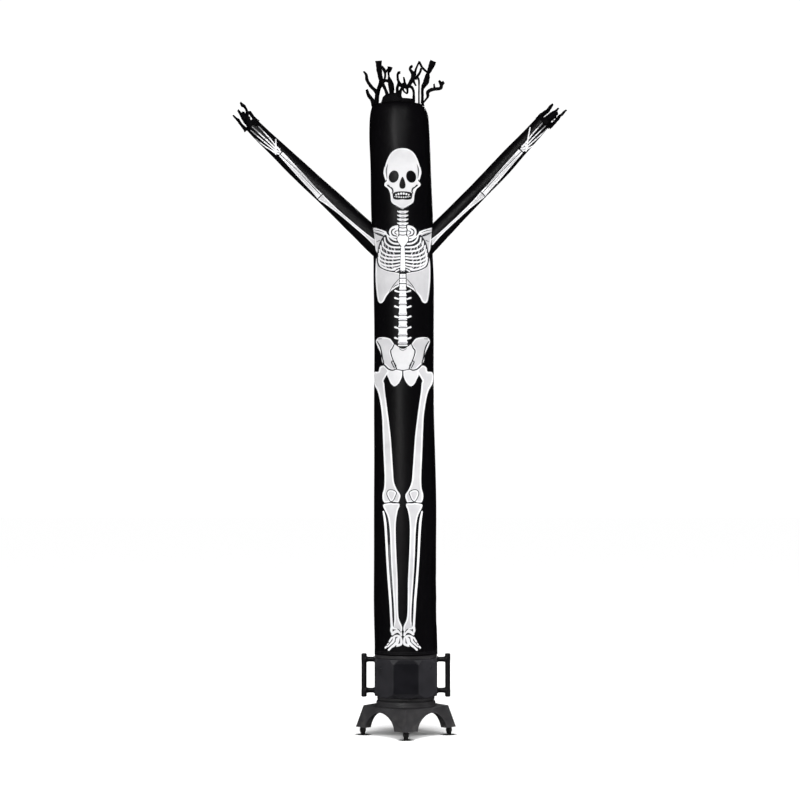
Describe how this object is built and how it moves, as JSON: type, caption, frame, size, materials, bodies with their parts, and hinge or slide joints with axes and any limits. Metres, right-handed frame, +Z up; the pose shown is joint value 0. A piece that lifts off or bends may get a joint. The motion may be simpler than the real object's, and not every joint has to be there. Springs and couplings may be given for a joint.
{
  "type": "inflatable air dancer on its blower",
  "caption": "Tall inflated cloth tube figure with raised tube arms and cut ribbon hair and fingers, on a moulded blower with side grips and rubber feet.",
  "frame": {"origin": "on the floor, on the blower's upright axis; the feet rest at z = 0", "axes": "+Z up along the body tube, +X towards the arm on the viewer's right, -Y towards the viewer, the side with the printed figure"},
  "size_m": [1.6976, 0.508, 3.4386],
  "materials": {
    "cloth_black": "satin",
    "plastic_charcoal": "matte",
    "plastic_black": "satin",
    "rubber_black": "matte"
  },
  "bodies": {
    "root": {"body_tube": "cloth_black", "arm_left": "cloth_black", "arm_left_outer": "cloth_black", "arm_right": "cloth_black", "arm_right_outer": "cloth_black", "hair_ribbons": "cloth_black", "finger_ribbons_left": "cloth_black", "finger_ribbons_right": "cloth_black", "outlet_rim": "plastic_charcoal", "blower_housing": "plastic_charcoal", "waist_ring": "plastic_charcoal", "base_skirt": "plastic_charcoal", "intake_guard": "plastic_black", "handle_left": "plastic_black", "handle_right": "plastic_black", "foot_1": "rubber_black", "foot_2": "rubber_black", "foot_3": "rubber_black", "foot_4": "rubber_black"}
  },
  "joints": []
}
